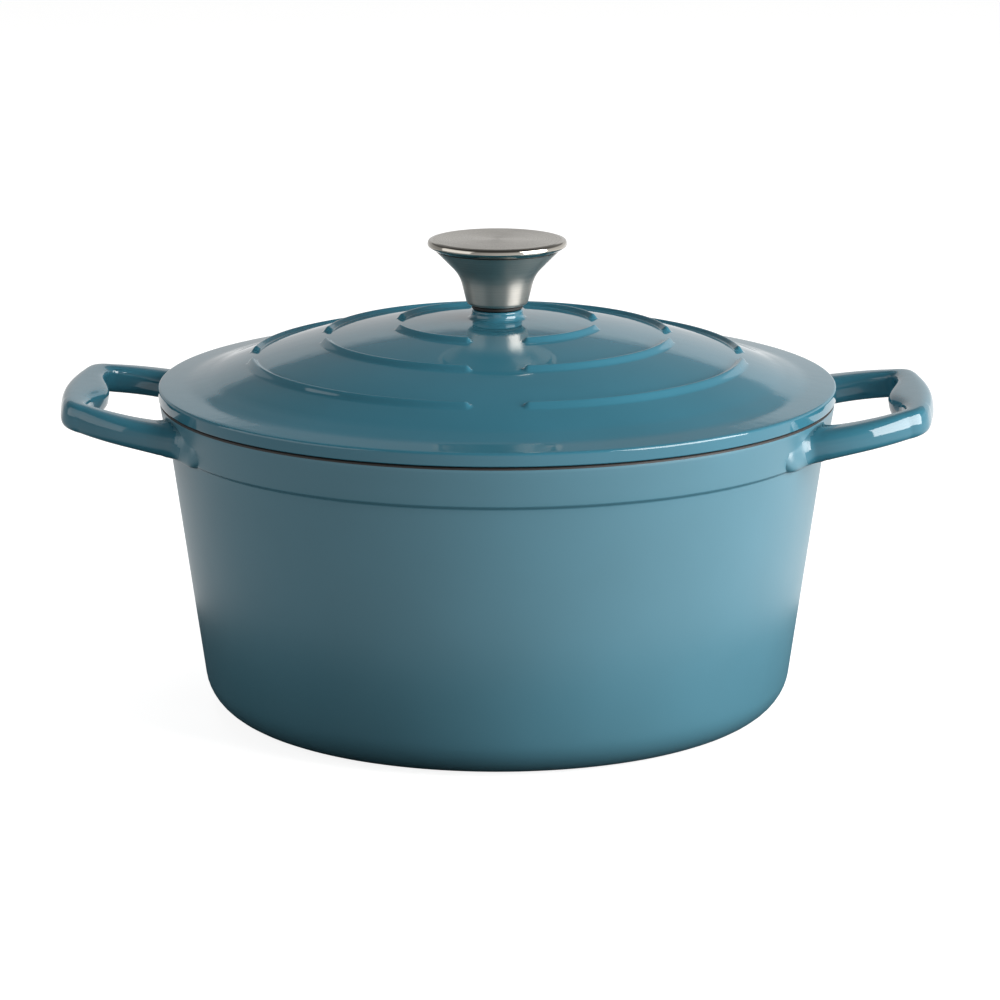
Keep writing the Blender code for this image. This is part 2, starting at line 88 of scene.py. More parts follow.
def roundedOutline(corners, arcStep=math.radians(7)):
    # corners are (r, z, radius); the first and last stay sharp
    points = []
    for i, (a, b, radius) in enumerate(corners):
        if radius == 0 or i in (0, len(corners) - 1):
            points.append((a, b))
            continue
        here = Vector((a, b))
        back = (Vector(corners[i - 1][:2]) - here).normalized()
        ahead = (Vector(corners[i + 1][:2]) - here).normalized()
        half = math.acos(max(-1.0, min(1.0, back.dot(ahead)))) / 2
        centre = here + (back + ahead).normalized() * radius / math.sin(half)
        first = here + back * radius / math.tan(half) - centre
        last = here + ahead * radius / math.tan(half) - centre
        start = math.atan2(first.y, first.x)
        turn = (math.atan2(last.y, last.x) - start + math.pi) % (2 * math.pi) - math.pi
        steps = max(2, math.ceil(abs(turn) / arcStep))
        for k in range(steps + 1):
            angle = start + turn * k / steps
            points.append((centre.x + radius * math.cos(angle), centre.y + radius * math.sin(angle)))
    return points


def refined(points, longest):
    # the same outline, with its long straight stretches cut up
    made = [points[0]]
    for here, after in zip(points, points[1:]):
        count = max(1, math.ceil(math.dist(here, after) / longest))
        made += [
            (here[0] + (after[0] - here[0]) * k / count, here[1] + (after[1] - here[1]) * k / count)
            for k in range(1, count + 1)
        ]
    return made


def turnedMesh(name, outline, around, closed, lift=None, phase=0.0):
    # lift(r, z, angle) moves a point up, for what isn't round
    mesh = bmesh.new()
    rings = []
    for r, z in outline:
        if r < hair / 1000:  # on the axis: one point, not a ring
            rings.append([mesh.verts.new((0, 0, z))])
            continue
        ring = []
        for k in range(around):
            angle = phase + 2 * math.pi * k / around
            rise = lift(r, z, angle) if lift else 0.0
            ring.append(mesh.verts.new((r * math.cos(angle), r * math.sin(angle), z + rise)))
        rings.append(ring)
    pairs = list(zip(rings, rings[1:]))
    if closed:
        pairs.append((rings[-1], rings[0]))
    for low, high in pairs:
        if len(low) == 1 and len(high) == 1:
            continue
        for k in range(around):
            after = (k + 1) % around
            if len(low) == 1:
                corners = (low[0], high[after], high[k])
            elif len(high) == 1:
                corners = (low[k], low[after], high[0])
            else:
                corners = (low[k], low[after], high[after], high[k])
            mesh.faces.new(corners)
    bmesh.ops.recalc_face_normals(mesh, faces=mesh.faces)
    data = bpy.data.meshes.new(name)
    mesh.to_mesh(data)
    mesh.free()
    return data


def newObject(name, data, materials, sharpAngle=40):
    made = bpy.data.objects.new(name, data)
    bpy.context.scene.collection.objects.link(made)
    for finish in materials:
        data.materials.append(finish)
    data.shade_smooth()
    data.set_sharp_from_angle(angle=math.radians(sharpAngle))
    return made


def asPiece(made, node, body):
    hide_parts(node)
    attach(made, body)
    print("made", made.name)
    return made


def combined(target, operation, other):
    # applies the boolean at once and drops the other shape
    change = target.modifiers.new(operation.lower(), "BOOLEAN")
    change.operation = operation
    change.object = other
    change.solver = "EXACT"
    graph = bpy.context.evaluated_depsgraph_get()
    data = bpy.data.meshes.new_from_object(target.evaluated_get(graph))
    target.modifiers.clear()
    target.data = data
    bpy.data.objects.remove(other)


# Materials

enamelLook = {
    "cloudSize": 60.0,  # mm across one patch of thicker or thinner coat
    "sheenSize": 25.0,  # mm across one duller or glossier patch
    "peelSize": 6.4,  # mm across one swell of the fired glass
    "pitSize": 2.2,  # mm between the small pits
    "coats": {
        # deep is where the coat lies thick, thin where it has run thin
        "tealGlossEnamel": {"deep": "295a69", "thin": "316677", "roughness": (0.03, 0.07), "peel": 0.6},
        # the pot's side is fired duller and greyer
        "tealSatinEnamel": {"deep": "3d6572", "thin": "436f7e", "roughness": (0.28, 0.36), "peel": 0.2},
        "creamVitreousEnamel": {"deep": "d9cfba", "thin": "e2d9c6", "roughness": (0.14, 0.24), "peel": 0.35},
    },
}


def vitreousEnamel(name):
    # glass frit sprayed on cast iron and fired: it shines like glass, but is gently uneven,
    # as the casting's skin shows through
    coat = enamelLook["coats"][name]
    made, tree, shader = newMaterial(name, {"IOR": 1.52, "Metallic": 0.0})
    place = addNode(tree, "ShaderNodeTexCoord").outputs["Object"]
    cloud = addNode(
        tree, "ShaderNodeTexNoise", {"Vector": place, "Scale": 1000 / enamelLook["cloudSize"], "Detail": 3.0}
    )
    tint = addNode(
        tree, "ShaderNodeMix",
        {"Factor": cloud.outputs["Fac"], 6: toLinear(coat["deep"]), 7: toLinear(coat["thin"])},
        data_type="RGBA",
    )
    swell = addNode(
        tree, "ShaderNodeTexNoise",
        {"Vector": place, "Scale": 1000 / enamelLook["peelSize"], "Detail": 2.0, "Roughness": 0.4},
    )
    pits = addNode(tree, "ShaderNodeTexNoise", {"Vector": place, "Scale": 1000 / enamelLook["pitSize"]})
    sheen = addNode(
        tree, "ShaderNodeTexNoise", {"Vector": place, "Scale": 1000 / enamelLook["sheenSize"], "Detail": 4.0}
    )
    wave = addNode(
        tree, "ShaderNodeBump",
        {"Strength": coat["peel"], "Distance": 0.06 * mm, "Height": swell.outputs["Fac"]},
    )
    grain = addNode(
        tree, "ShaderNodeBump",
        {"Strength": 0.10, "Distance": 0.03 * mm, "Height": pits.outputs["Fac"], "Normal": wave.outputs[0]},
    )
    tree.links.new(tint.outputs[2], shader.inputs["Base Color"])
    tree.links.new(spread(tree, sheen.outputs["Fac"], *coat["roughness"]), shader.inputs["Roughness"])
    tree.links.new(grain.outputs[0], shader.inputs["Normal"])
    return made


def matteRimEnamel():
    # ground coat left bare on the rim and lip: near black, dry and gritty
    made, tree, shader = newMaterial("groundCoatEnamel", {"IOR": 1.5, "Metallic": 0.0})
    place = addNode(tree, "ShaderNodeTexCoord").outputs["Object"]
    grit = addNode(tree, "ShaderNodeTexNoise", {"Vector": place, "Scale": 1000 / 1.4, "Detail": 4.0})
    tint = addNode(
        tree, "ShaderNodeMix",
        {"Factor": grit.outputs["Fac"], 6: toLinear("120f0e"), 7: toLinear("25211f")}, data_type="RGBA",
    )
    bump = addNode(
        tree, "ShaderNodeBump", {"Strength": 0.4, "Distance": 0.08 * mm, "Height": grit.outputs["Fac"]}
    )
    tree.links.new(tint.outputs[2], shader.inputs["Base Color"])
    tree.links.new(spread(tree, grit.outputs["Fac"], 0.5, 0.75), shader.inputs["Roughness"])
    tree.links.new(bump.outputs[0], shader.inputs["Normal"])
    return made


# lines are mm apart, depth is how deep the light finds them, and along is which way they follow each other
steelLook = {
    "satinTurnedSteel": {
        "dark": "a39e96", "bright": "cbc6be", "roughness": (0.30, 0.42),
        "lines": 0.5, "depth": 0.25, "anisotropy": 0.7, "along": "height",
    },
    "circularBrushedSteel": {
        "dark": "aaa59c", "bright": "d2cdc4", "roughness": (0.22, 0.34),
        "lines": 0.45, "depth": 0.3, "anisotropy": 0.4, "along": "radius",
    },
    "polishedSteel": {
        "dark": "a29d94", "bright": "bab5ac", "roughness": (0.06, 0.10),
        "lines": 0.8, "depth": 0.05, "anisotropy": 0.2, "along": "radius",
    },
}


def turnedSteel(name):
    # stainless steel finished on a lathe: fine rings round the axis draw the light out across them
    finish = steelLook[name]
    made, tree, shader = newMaterial(
        name, {"Metallic": 1.0, "Anisotropic": finish["anisotropy"], "Anisotropic Rotation": 0.25}
    )
    place = addNode(tree, "ShaderNodeTexCoord").outputs["Object"]
    apart = addNode(tree, "ShaderNodeSeparateXYZ", {"Vector": place})
    flat = addNode(tree, "ShaderNodeCombineXYZ", {"X": apart.outputs["X"], "Y": apart.outputs["Y"]})
    radius = addNode(tree, "ShaderNodeVectorMath", {0: flat.outputs[0]}, operation="LENGTH")
    across = {"radius": radius.outputs["Value"], "height": apart.outputs["Z"]}[finish["along"]]
    # real grit lines are 0.05 mm apart: drawn at the spacing given, as coarse as they need to show
    rings = addNode(
        tree, "ShaderNodeTexNoise",
        {"W": across, "Scale": 1000 / finish["lines"], "Detail": 5.0, "Roughness": 0.7},
        noise_dimensions="1D",
    )
    handling = addNode(tree, "ShaderNodeTexNoise", {"Vector": place, "Scale": 1000 / 9.0, "Detail": 4.0})
    tint = addNode(
        tree, "ShaderNodeMix",
        {"Factor": rings.outputs["Fac"], 6: toLinear(finish["dark"]), 7: toLinear(finish["bright"])},
        data_type="RGBA",
    )
    lined = spread(tree, rings.outputs["Fac"], *finish["roughness"])
    handled = spread(tree, handling.outputs["Fac"], -0.04, 0.04)
    worn = addNode(tree, "ShaderNodeMath", {0: lined, 1: handled}, operation="ADD")
    bump = addNode(
        tree, "ShaderNodeBump",
        {"Strength": finish["depth"], "Distance": 0.02 * mm, "Height": rings.outputs["Fac"]},
    )
    turned = addNode(tree, "ShaderNodeTangent", direction_type="RADIAL", axis="Z")
    tree.links.new(tint.outputs[2], shader.inputs["Base Color"])
    tree.links.new(worn.outputs[0], shader.inputs["Roughness"])
    tree.links.new(bump.outputs[0], shader.inputs["Normal"])
    tree.links.new(turned.outputs[0], shader.inputs["Tangent"])
    return made


def zincPlate():
    # bright zinc over steel: cool grey, faintly spangled and soft in its shine
    made, tree, shader = newMaterial("zincPlatedSteel", {"Metallic": 1.0})
    place = addNode(tree, "ShaderNodeTexCoord").outputs["Object"]
    spangle = addNode(tree, "ShaderNodeTexVoronoi", {"Vector": place, "Scale": 1000 / 1.2})
    tint = addNode(
        tree, "ShaderNodeMix",
        {"Factor": spangle.outputs["Distance"], 6: toLinear("a7a9ab"), 7: toLinear("c3c5c6")},
        data_type="RGBA",
    )
    bump = addNode(
        tree, "ShaderNodeBump",
        {"Strength": 0.2, "Distance": 0.02 * mm, "Height": spangle.outputs["Distance"]},
    )
    tree.links.new(tint.outputs[2], shader.inputs["Base Color"])
    tree.links.new(spread(tree, spangle.outputs["Distance"], 0.25, 0.42), shader.inputs["Roughness"])
    tree.links.new(bump.outputs[0], shader.inputs["Normal"])
    return made


def mouldedSilicone():
    # black silicone rubber, moulded: no gloss, a fine dusty tooth
    made, tree, shader = newMaterial("blackSilicone", {"IOR": 1.41, "Metallic": 0.0})
    place = addNode(tree, "ShaderNodeTexCoord").outputs["Object"]
    tooth = addNode(tree, "ShaderNodeTexNoise", {"Vector": place, "Scale": 1000 / 0.6, "Detail": 3.0})
    tint = addNode(
        tree, "ShaderNodeMix",
        {"Factor": tooth.outputs["Fac"], 6: toLinear("100f0f"), 7: toLinear("1d1c1b")}, data_type="RGBA",
    )
    bump = addNode(
        tree, "ShaderNodeBump", {"Strength": 0.3, "Distance": 0.02 * mm, "Height": tooth.outputs["Fac"]}
    )
    tree.links.new(tint.outputs[2], shader.inputs["Base Color"])
    tree.links.new(spread(tree, tooth.outputs["Fac"], 0.55, 0.7), shader.inputs["Roughness"])
    tree.links.new(bump.outputs[0], shader.inputs["Normal"])
    return made


tealEnamel = vitreousEnamel("tealGlossEnamel")
satinEnamel = vitreousEnamel("tealSatinEnamel")
creamEnamel = vitreousEnamel("creamVitreousEnamel")
rimEnamel = matteRimEnamel()
satinSteel = turnedSteel("satinTurnedSteel")
brushedSteel = turnedSteel("circularBrushedSteel")
polishedSteel = turnedSteel("polishedSteel")
zincSteel = zincPlate()
silicone = mouldedSilicone()
print("materials ready")

# Pot

pot = {
    "bandHeight": 15.5,  # mm, the thicker band under the rim
    "bandStep": 1.2,
    "wallInset": 1.3,
    "wallTaper": 17.3,  # mm narrower at the base
    "baseRounding": 17.0,
    "wall": 3.6,
    "floor": 4.2,
    "cavityRounding": 16.0,
    "rimLand": 4.8,  # mm wide, the flat that the lid sits on
    "rimRounding": 1.0,
    "lidLip": 3.6,  # mm, how far the lid's lip reaches down inside
    "lidGap": 0.3,
    "bandRounding": 2.0,
    "longestStep": 3.2,  # mm between points down the wall
    "around": 288,
}
lidSeat = lidLow.z + pot["lidLip"] * mm
rimHeight = lidSeat - pot["lidGap"] * mm
wallTop = rimRadius - pot["wallInset"] * mm
innerRim = rimRadius - pot["rimLand"] * mm


def wallRadius(height):
    return wallTop - pot["wallTaper"] * mm * (1 - height / rimHeight)


def potOutside():
    bandFoot = rimHeight - pot["bandHeight"] * mm
    step = pot["bandStep"] * mm
    rimRounding = pot["rimRounding"] * mm
    corners = [
        (0.0, 0.0, 0.0),
        (wallRadius(0), 0.0, pot["baseRounding"] * mm),
        (wallRadius(bandFoot - step), bandFoot - step, step),
        (wallRadius(bandFoot) + step, bandFoot, step),
        (rimRadius, rimHeight - 2 * rimRounding, pot["bandRounding"] * mm),
        (rimRadius, rimHeight, rimRounding),
        (0.0, rimHeight, 0.0),
    ]
    return refined(roundedOutline(corners), pot["longestStep"] * mm)


def potCavity():
    # the shape cut out of the pot, which stands a little above the rim
    floorHeight = pot["floor"] * mm
    clear = rimHeight + 4 * mm
    corners = [
        (0.0, floorHeight, 0.0),
        (wallRadius(floorHeight) - pot["wall"] * mm, floorHeight, pot["cavityRounding"] * mm),
        (innerRim, rimHeight, 0.0),
        (innerRim, clear, 0.0),
        (0.0, clear, 0.0),
    ]
    return refined(roundedOutline(corners), pot["longestStep"] * mm)


loopHandle = {
    "thickness": 11.0,  # mm
    "tilt": 10.0,  # degrees up towards the tip
    "belowRim": 7.3,
    "tipHalfWidth": 40.0,
    "rootHalfWidth": 59.5,
    "armTip": 9.2,
    "armRoot": 12.6,
    "bar": 12.8,
    "thumbPadDepth": 4.7,
    "thumbPadHalfWidth": 25.0,
    "cornerRounding": 12.0,
    "windowRounding": 6.0,
    "rootRounding": 10.0,
    "squareness": 3.2,  # 2 is a round bar, higher is squarer
    "pivotInset": 2.4,  # mm, the sections fan out from this far inside the rim
    "rootSwell": 3.0,  # mm thicker where it grows out of the wall
    "swellReach": 5.0,
    "stations": 190,
    "facets": 36,
}


def handleEdges():
    # plan of the loop's outer and inner edge, from the wall to the middle of the bar, in metres
    reach = handleReach
    cast = {name: value * mm for name, value in loopHandle.items() if name != "tilt"}
    barInner = reach - cast["bar"]
    rootWidth = cast["rootHalfWidth"]
    tipWidth = cast["tipHalfWidth"]
    buried = wallTop - pot["wall"] * mm / 2
    flare = rootWidth + cast["rootRounding"]
    windowRoot = rootWidth - cast["armRoot"] - cast["rootRounding"] / 2
    windowTip = tipWidth - cast["armTip"] + cast["cornerRounding"] / 2
    pinch = windowRoot - cast["windowRounding"] * 2

    def onWall(y):
        # just inside the rim's outer face
        return math.sqrt(rimRadius**2 - y**2) - mm

    endAngle = math.asin((tipWidth - cast["cornerRounding"]) / reach)
    outer = roundedOutline([
        (math.sqrt(buried**2 - flare**2), flare, 0.0),
        (onWall(flare), flare, 0.0),
        (onWall(rootWidth) + mm, rootWidth, cast["rootRounding"]),
        (math.sqrt(reach**2 - tipWidth**2), tipWidth + cast["cornerRounding"] / 4, cast["cornerRounding"]),
        (reach * math.cos(endAngle), reach * math.sin(endAngle), 0.0),
    ])
    outer += [
        (reach * math.cos(endAngle * (1 - k / 8)), reach * math.sin(endAngle * (1 - k / 8)))
        for k in range(1, 9)
    ]
    inner = roundedOutline([
        (math.sqrt(buried**2 - pinch**2), pinch, 0.0),
        (onWall(pinch), pinch, 0.0),
        (onWall(windowRoot), windowRoot, cast["windowRounding"]),
        (barInner, windowTip, cast["windowRounding"]),
        (barInner, cast["thumbPadHalfWidth"], 0.0),
    ])
    inner += [
        (
            barInner - cast["thumbPadDepth"] * (1 + math.cos(math.pi * (1 - k / 16))) / 2,
            cast["thumbPadHalfWidth"] * (1 - k / 16),
        )
        for k in range(1, 17)
    ]
    return outer, inner


def readAt(outline, pivot, angle):
    # distance from the pivot to the outline along this angle
    turns = [(math.atan2(y, x - pivot), math.hypot(x - pivot, y)) for x, y in outline]
    for (wide, far), (narrow, near) in zip(turns, turns[1:]):
        if narrow <= angle <= wide and wide > narrow:
            return far + (near - far) * (wide - angle) / (wide - narrow)
    return turns[0][1] if angle > turns[0][0] else turns[-1][1]


def handleForm(name, direction):
    outer, inner = handleEdges()
    pivot = rimRadius - loopHandle["pivotInset"] * mm
    widest = math.atan2(outer[0][1], outer[0][0] - pivot)
    squareness = 2 / loopHandle["squareness"]
    mesh = bmesh.new()
    rings = []
    for k in range(loopHandle["stations"] + 1):
        side = 2 * k / loopHandle["stations"] - 1
        angle = abs(side) * widest
        far = readAt(outer, pivot, angle)
        near = readAt(inner, pivot, angle)
        sign = 1 if side >= 0 else -1
        outward = Vector((math.cos(angle), sign * math.sin(angle), 0))
        middle = Vector((pivot, 0, 0)) + outward * (far + near) / 2
        fromWall = max(0.0, middle.xy.length - rimRadius)
        swell = loopHandle["rootSwell"] * mm * math.exp(-fromWall / (loopHandle["swellReach"] * mm))
        thick = (loopHandle["thickness"] * mm + swell) / 2
        wide = (far - near) / 2
        ring = []
        for n in range(loopHandle["facets"]):
            around = 2 * math.pi * n / loopHandle["facets"]
            c, s = math.cos(around), math.sin(around)
            x = math.copysign(abs(c) ** squareness, c) * wide
            z = math.copysign(abs(s) ** squareness, s) * thick
            ring.append(mesh.verts.new(middle + outward * x + Vector((0, 0, z))))
        rings.append(ring)
    for low, high in zip(rings, rings[1:]):
        for n in range(loopHandle["facets"]):
            after = (n + 1) % loopHandle["facets"]
            mesh.faces.new((low[n], high[n], high[after], low[after]))
    mesh.faces.new(rings[0])
    mesh.faces.new(reversed(rings[-1]))
    bmesh.ops.recalc_face_normals(mesh, faces=mesh.faces)
    lift = Matrix.Translation((rimRadius, 0, rimHeight - loopHandle["belowRim"] * mm))
    tilt = Matrix.Rotation(-math.radians(loopHandle["tilt"]), 4, "Y")
    centred = Matrix.Translation((-rimRadius, 0, 0))
    mesh.transform(Matrix.Rotation(direction, 4, "Z") @ lift @ tilt @ centred)
    data = bpy.data.meshes.new(name)
    mesh.to_mesh(data)
    mesh.free()
    return newObject(name, data, [])


def makePot():
    made = newObject("enamelledPot", turnedMesh("enamelledPot", potOutside(), pot["around"], False), [])
    combined(made, "UNION", handleForm("rightLoop", 0.0))
    combined(made, "UNION", handleForm("leftLoop", math.pi))
    hollow = newObject("hollow", turnedMesh("hollow", potCavity(), pot["around"], False), [])
    combined(made, "DIFFERENCE", hollow)
    data = made.data
    data.materials.clear()
    for finish in (satinEnamel, creamEnamel, rimEnamel, tealEnamel):
        data.materials.append(finish)
    for face in data.polygons:
        out = Vector(face.center).xy
        facesIn = face.normal.z > 0.3 or face.normal.xy.dot(out) < 0
        inside = out.length < innerRim + hair and face.center.z > pot["floor"] * mm / 2 and facesIn
        onRim = face.center.z > rimHeight - pot["rimRounding"] * mm and out.length < rimRadius + 2 * hair
        if onRim and out.length > innerRim - hair:
            face.material_index = 2
        elif inside:
            face.material_index = 1
        elif out.length > rimRadius + mm:  # the handles keep the lid's full gloss
            face.material_index = 3
    data.shade_smooth()
    data.set_sharp_from_angle(angle=math.radians(38))
    return asPiece(made, "pot", "pot")


makePot()

# Lid

lid = {
    "flange": 5.2,  # mm thick
    "flangeWidth": 12.0,
    "flangeFall": 1.2,  # mm lower at the edge, so water runs off
    "edgeRounding": 1.1,
    "domeRise": 25.8,
    "coveReach": 9.0,  # mm up the dome that its hollow foot starts
    "coveRounding": 19.6,
    "wall": 3.8,
    "lipClearance": 1.6,
    "lipWidth": 4.0,
    "ribInset": 37.2,  # mm from the edge to the middle of the largest ring
    "ribInner": 40.0,  # mm, radius of the smallest ring
    "ribCount": 3,
    "ribWidth": 5.0,
    "ribHeight": 1.9,
    "ribGap": 18.7,
    "bossRadius": 10.1,
    "bossHeight": 3.4,
    "bossFillet": 4.0,
    "screwSeatRadius": 10.0,
    "screwHole": 3.4,
    "around": 720,
    "underSteps": 30,
    "fineStep": 0.45,  # mm between points across a rib
    "plainStep": 2.6,
}
flangeTop = lidSeat + lid["flange"] * mm
domeFoot = lidRadius - lid["flangeWidth"] * mm
domeSphere = (domeFoot**2 + (lid["domeRise"] * mm) ** 2) / (2 * lid["domeRise"] * mm)
domeCentre = flangeTop + lid["domeRise"] * mm - domeSphere
bossTop = flangeTop + (lid["domeRise"] + lid["bossHeight"]) * mm
ribOuter = lidRadius - lid["ribInset"] * mm
ribPitch = (ribOuter - lid["ribInner"] * mm) / (lid["ribCount"] - 1)
ribRadii = [ribOuter - ribPitch * k for k in range(lid["ribCount"])]


def domeHeight(r, sphere):
    return domeCentre + math.sqrt(sphere**2 - r**2)


def ribRise(r, z, angle):
    # four arcs to a ring, with round ends either side of the cross-shaped gap
    onDome = (lid["bossRadius"] + 2) * mm <= r <= domeFoot - 8 * mm
    if not onDome or z < domeHeight(r, domeSphere) - 0.2 * mm:
        return 0.0
    half = lid["ribWidth"] * mm / 2
    rise = 0.0
    for ringRadius in ribRadii:
        if abs(r - ringRadius) > half:
            continue
        quarter = (angle - lidTurn) % (math.pi / 2) - math.pi / 4
        arm = math.pi / 4 - math.asin(lid["ribGap"] * mm / 2 / ringRadius) - half / ringRadius
        past = max(0.0, abs(quarter) - arm) * ringRadius
        off = min(1.0, math.hypot(r - ringRadius, past) / half)
        rise = lid["ribHeight"] * mm * (1 + math.cos(math.pi * off)) / 2
    return rise


def domeRadii(first, last):
    # radii along the dome, close together across each rib
    marks = [first]
    while marks[-1] < last:
        near = min(abs(marks[-1] - ringRadius) for ringRadius in ribRadii)
        fine = near < lid["ribWidth"] * mm * 0.62
        step = lid["fineStep"] if fine else lid["plainStep"]
        if not fine:
            step = min(step, max(lid["fineStep"], near / mm - lid["ribWidth"] * 0.6))
        marks.append(marks[-1] + step * mm)
    return marks[:-1] + [last]


def lidOutline():
    edge = lid["edgeRounding"] * mm
    boss = lid["bossRadius"] * mm
    hole = lid["screwHole"] * mm
    wall = lid["wall"] * mm
    underSphere = domeSphere - wall
    lipOuter = innerRim - lid["lipClearance"] * mm
    lipInner = lipOuter - lid["lipWidth"] * mm
    seat = lid["screwSeatRadius"] * mm
    filletTo = boss + lid["bossFillet"] * mm
    coveFrom = domeFoot - lid["coveReach"] * mm
    underFrom = lipInner - wall
    top = roundedOutline([
        (hole, bossTop, 0.0),
        (boss, bossTop, 0.8 * mm),
        (boss, domeHeight(boss, domeSphere), 2.2 * mm),
        (filletTo, domeHeight(filletTo, domeSphere), 0.0),
    ])
    dome = [(r, domeHeight(r, domeSphere)) for r in domeRadii(filletTo, coveFrom)]
    rim = roundedOutline([
        (coveFrom, domeHeight(coveFrom, domeSphere), 0.0),
        (domeFoot, flangeTop + lid["flangeFall"] * mm, lid["coveRounding"] * mm),
        (lidRadius, flangeTop, edge),
        (lidRadius, lidSeat, edge / 2),
        (lipOuter, lidSeat, 0.4 * mm),
        (lipOuter, lidLow.z, edge / 2),
        (lipInner, lidLow.z, edge / 2),
        (lipInner, lidSeat, wall / 2),
        (underFrom, domeHeight(underFrom, underSphere), 0.0),
    ])
    under = []
    for k in range(1, lid["underSteps"] + 1):
        r = underFrom + (seat - underFrom) * k / lid["underSteps"]
        under.append((r, domeHeight(r, underSphere)))
    return top[:-1] + dome + refined(rim, 2 * mm)[1:] + under + [(hole, domeHeight(seat, underSphere))]


def makeLid():
    data = turnedMesh("enamelledLid", lidOutline(), lid["around"], True, ribRise, lidTurn)
    made = newObject("enamelledLid", data, [tealEnamel, creamEnamel, rimEnamel], 50)
    for face in data.polygons:
        out = Vector(face.center).xy.length
        below = face.center.z < lidSeat + 0.02 * mm
        hidden = face.normal.z < -0.2 and face.center.z > lidSeat
        if below and out < lidRadius - 0.4 * mm:
            face.material_index = 2
        elif hidden and out < innerRim:
            face.material_index = 1
    return asPiece(made, "lid", "lid")


makeLid()

# Knob

knob = {
    "footRadius": 12.0,  # mm
    "waistRadius": 15.0,
    "waistHeight": 12.0,
    "flareRounding": 14.0,
    "sheet": 1.2,
    "topRadius": 27.8,
    "bellyHeight": 1.7,
    "undercut": 2.8,
    "flatInset": 2.2,
    "crownInset": 0.35,  # the polished edge bulges between the flat and the belly
    "crownDrop": 0.35,
    "shellHole": 6.3,
    "gap": 0.3,  # between pieces that fit together
    "around": 160,
}
bush = {
    "bore": 3.1,  # mm
    "wall": 6.0,
    "collar": 1.6,
    "around": 96,
}
capLow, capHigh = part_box("knob_cap")
shellLow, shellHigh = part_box("knob_shell")
gasketLow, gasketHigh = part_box("knob_gasket")


def makeKnobShell():
    sheet = knob["sheet"] * mm
    lip = (knob["topRadius"] - knob["undercut"] - knob["gap"]) * mm
    waist = shellLow.z + knob["waistHeight"] * mm
    flare = knob["flareRounding"] * mm
    foot = knob["footRadius"] * mm
    hole = knob["shellHole"] * mm
    waistRadius = knob["waistRadius"] * mm
    outline = roundedOutline([
        (hole, shellLow.z, 0.0),
        (foot, shellLow.z, 1.6 * sheet),
        (waistRadius, waist, flare),
        (lip, shellHigh.z, 0.0),
        (lip - 1.5 * sheet, shellHigh.z, 0.0),
        (waistRadius - sheet, waist + sheet / 3, flare + sheet),
        (foot - sheet, shellLow.z + sheet, sheet / 3),
        (hole, shellLow.z + sheet, 0.0),
    ])
    data = turnedMesh("knobTrumpet", refined(outline, mm), knob["around"], True)
    return asPiece(newObject("knobTrumpet", data, [satinSteel]), "knob_shell", "lid")


def makeKnobCap():
    sheet = knob["sheet"] * mm
    lip = (knob["topRadius"] - knob["undercut"]) * mm
    spigot = lip - 2 * sheet - knob["gap"] * mm
    under = capHigh.z - 1.4 * sheet
    outline = roundedOutline([
        (0.0, under, 0.0),
        (spigot - sheet, under, 0.0),
        (spigot - sheet, capLow.z, 0.0),
        (lip, capLow.z, 0.0),
        (knob["topRadius"] * mm, capLow.z + knob["bellyHeight"] * mm, 0.9 * sheet),
        ((knob["topRadius"] - knob["crownInset"]) * mm, capHigh.z - knob["crownDrop"] * mm, sheet),
        ((knob["topRadius"] - knob["flatInset"]) * mm, capHigh.z, 0.4 * sheet),
        (0.0, capHigh.z, 0.0),
    ], math.radians(5))
    data = turnedMesh("knobCap", refined(outline, mm), knob["around"], False)
    made = newObject("knobCap", data, [polishedSteel, brushedSteel])
    for face in data.polygons:
        flat = face.normal.z > 0.995 and face.center.z > capHigh.z - 0.1 * mm
        face.material_index = 1 if flat else 0
    return asPiece(made, "knob_cap", "lid")


def makeGasket():
    rounding = 0.4 * mm
    outline = roundedOutline([
        (lid["screwHole"] * mm, gasketLow.z, 0.0),
        (gasketHigh.x, gasketLow.z, rounding),
        (gasketHigh.x, gasketHigh.z, rounding),
        (lid["screwHole"] * mm, gasketHigh.z, 0.0),
    ])
    data = turnedMesh("knobGasket", refined(outline, mm), knob["around"], True)
    return asPiece(newObject("knobGasket", data, [silicone]), "knob_gasket", "lid")


def makeBush():
    low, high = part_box("knob_bush")
    bore = bush["bore"] * mm
    wall = bush["wall"] * mm
    ledge = low.z + (knob["sheet"] + knob["gap"]) * mm
    collarTop = ledge + bush["collar"] * mm
    outline = roundedOutline([
        (bore, low.z, 0.0),
        (wall, low.z, 0.3 * mm),
        (wall, ledge, 0.0),
        (high.x, ledge, 0.3 * mm),
        (high.x, collarTop, 0.4 * mm),
        (wall, collarTop, 0.4 * mm),
        (wall, high.z, 0.6 * mm),
        (bore, high.z, 0.0),
    ])
    data = turnedMesh("knobBush", refined(outline, mm), bush["around"], True)
    return asPiece(newObject("knobBush", data, [zincSteel]), "knob_bush", "lid")


makeKnobShell()
makeKnobCap()
makeGasket()
makeBush()

# Screw and washers

fastener = {
    "screwRadius": 3.0,  # mm, M6
    "pitch": 1.0,
    "threadDepth": 0.32,
    "headHeight": 3.6,
    "crossLength": 6.4,
    "crossWidth": 1.2,
    "crossDepth": 2.0,
    "slit": 1.0,
    "around": 96,
}


def makeWasher(name, node, edge):
    low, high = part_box(node)
    outline = roundedOutline([
        (lid["screwHole"] * mm, low.z, 0.0),
        (high.x, low.z, edge),
        (high.x, high.z, edge),
        (lid["screwHole"] * mm, high.z, 0.0),
    ])
    data = turnedMesh(name, refined(outline, mm), fastener["around"], True)
    return newObject(name, data, [zincSteel])


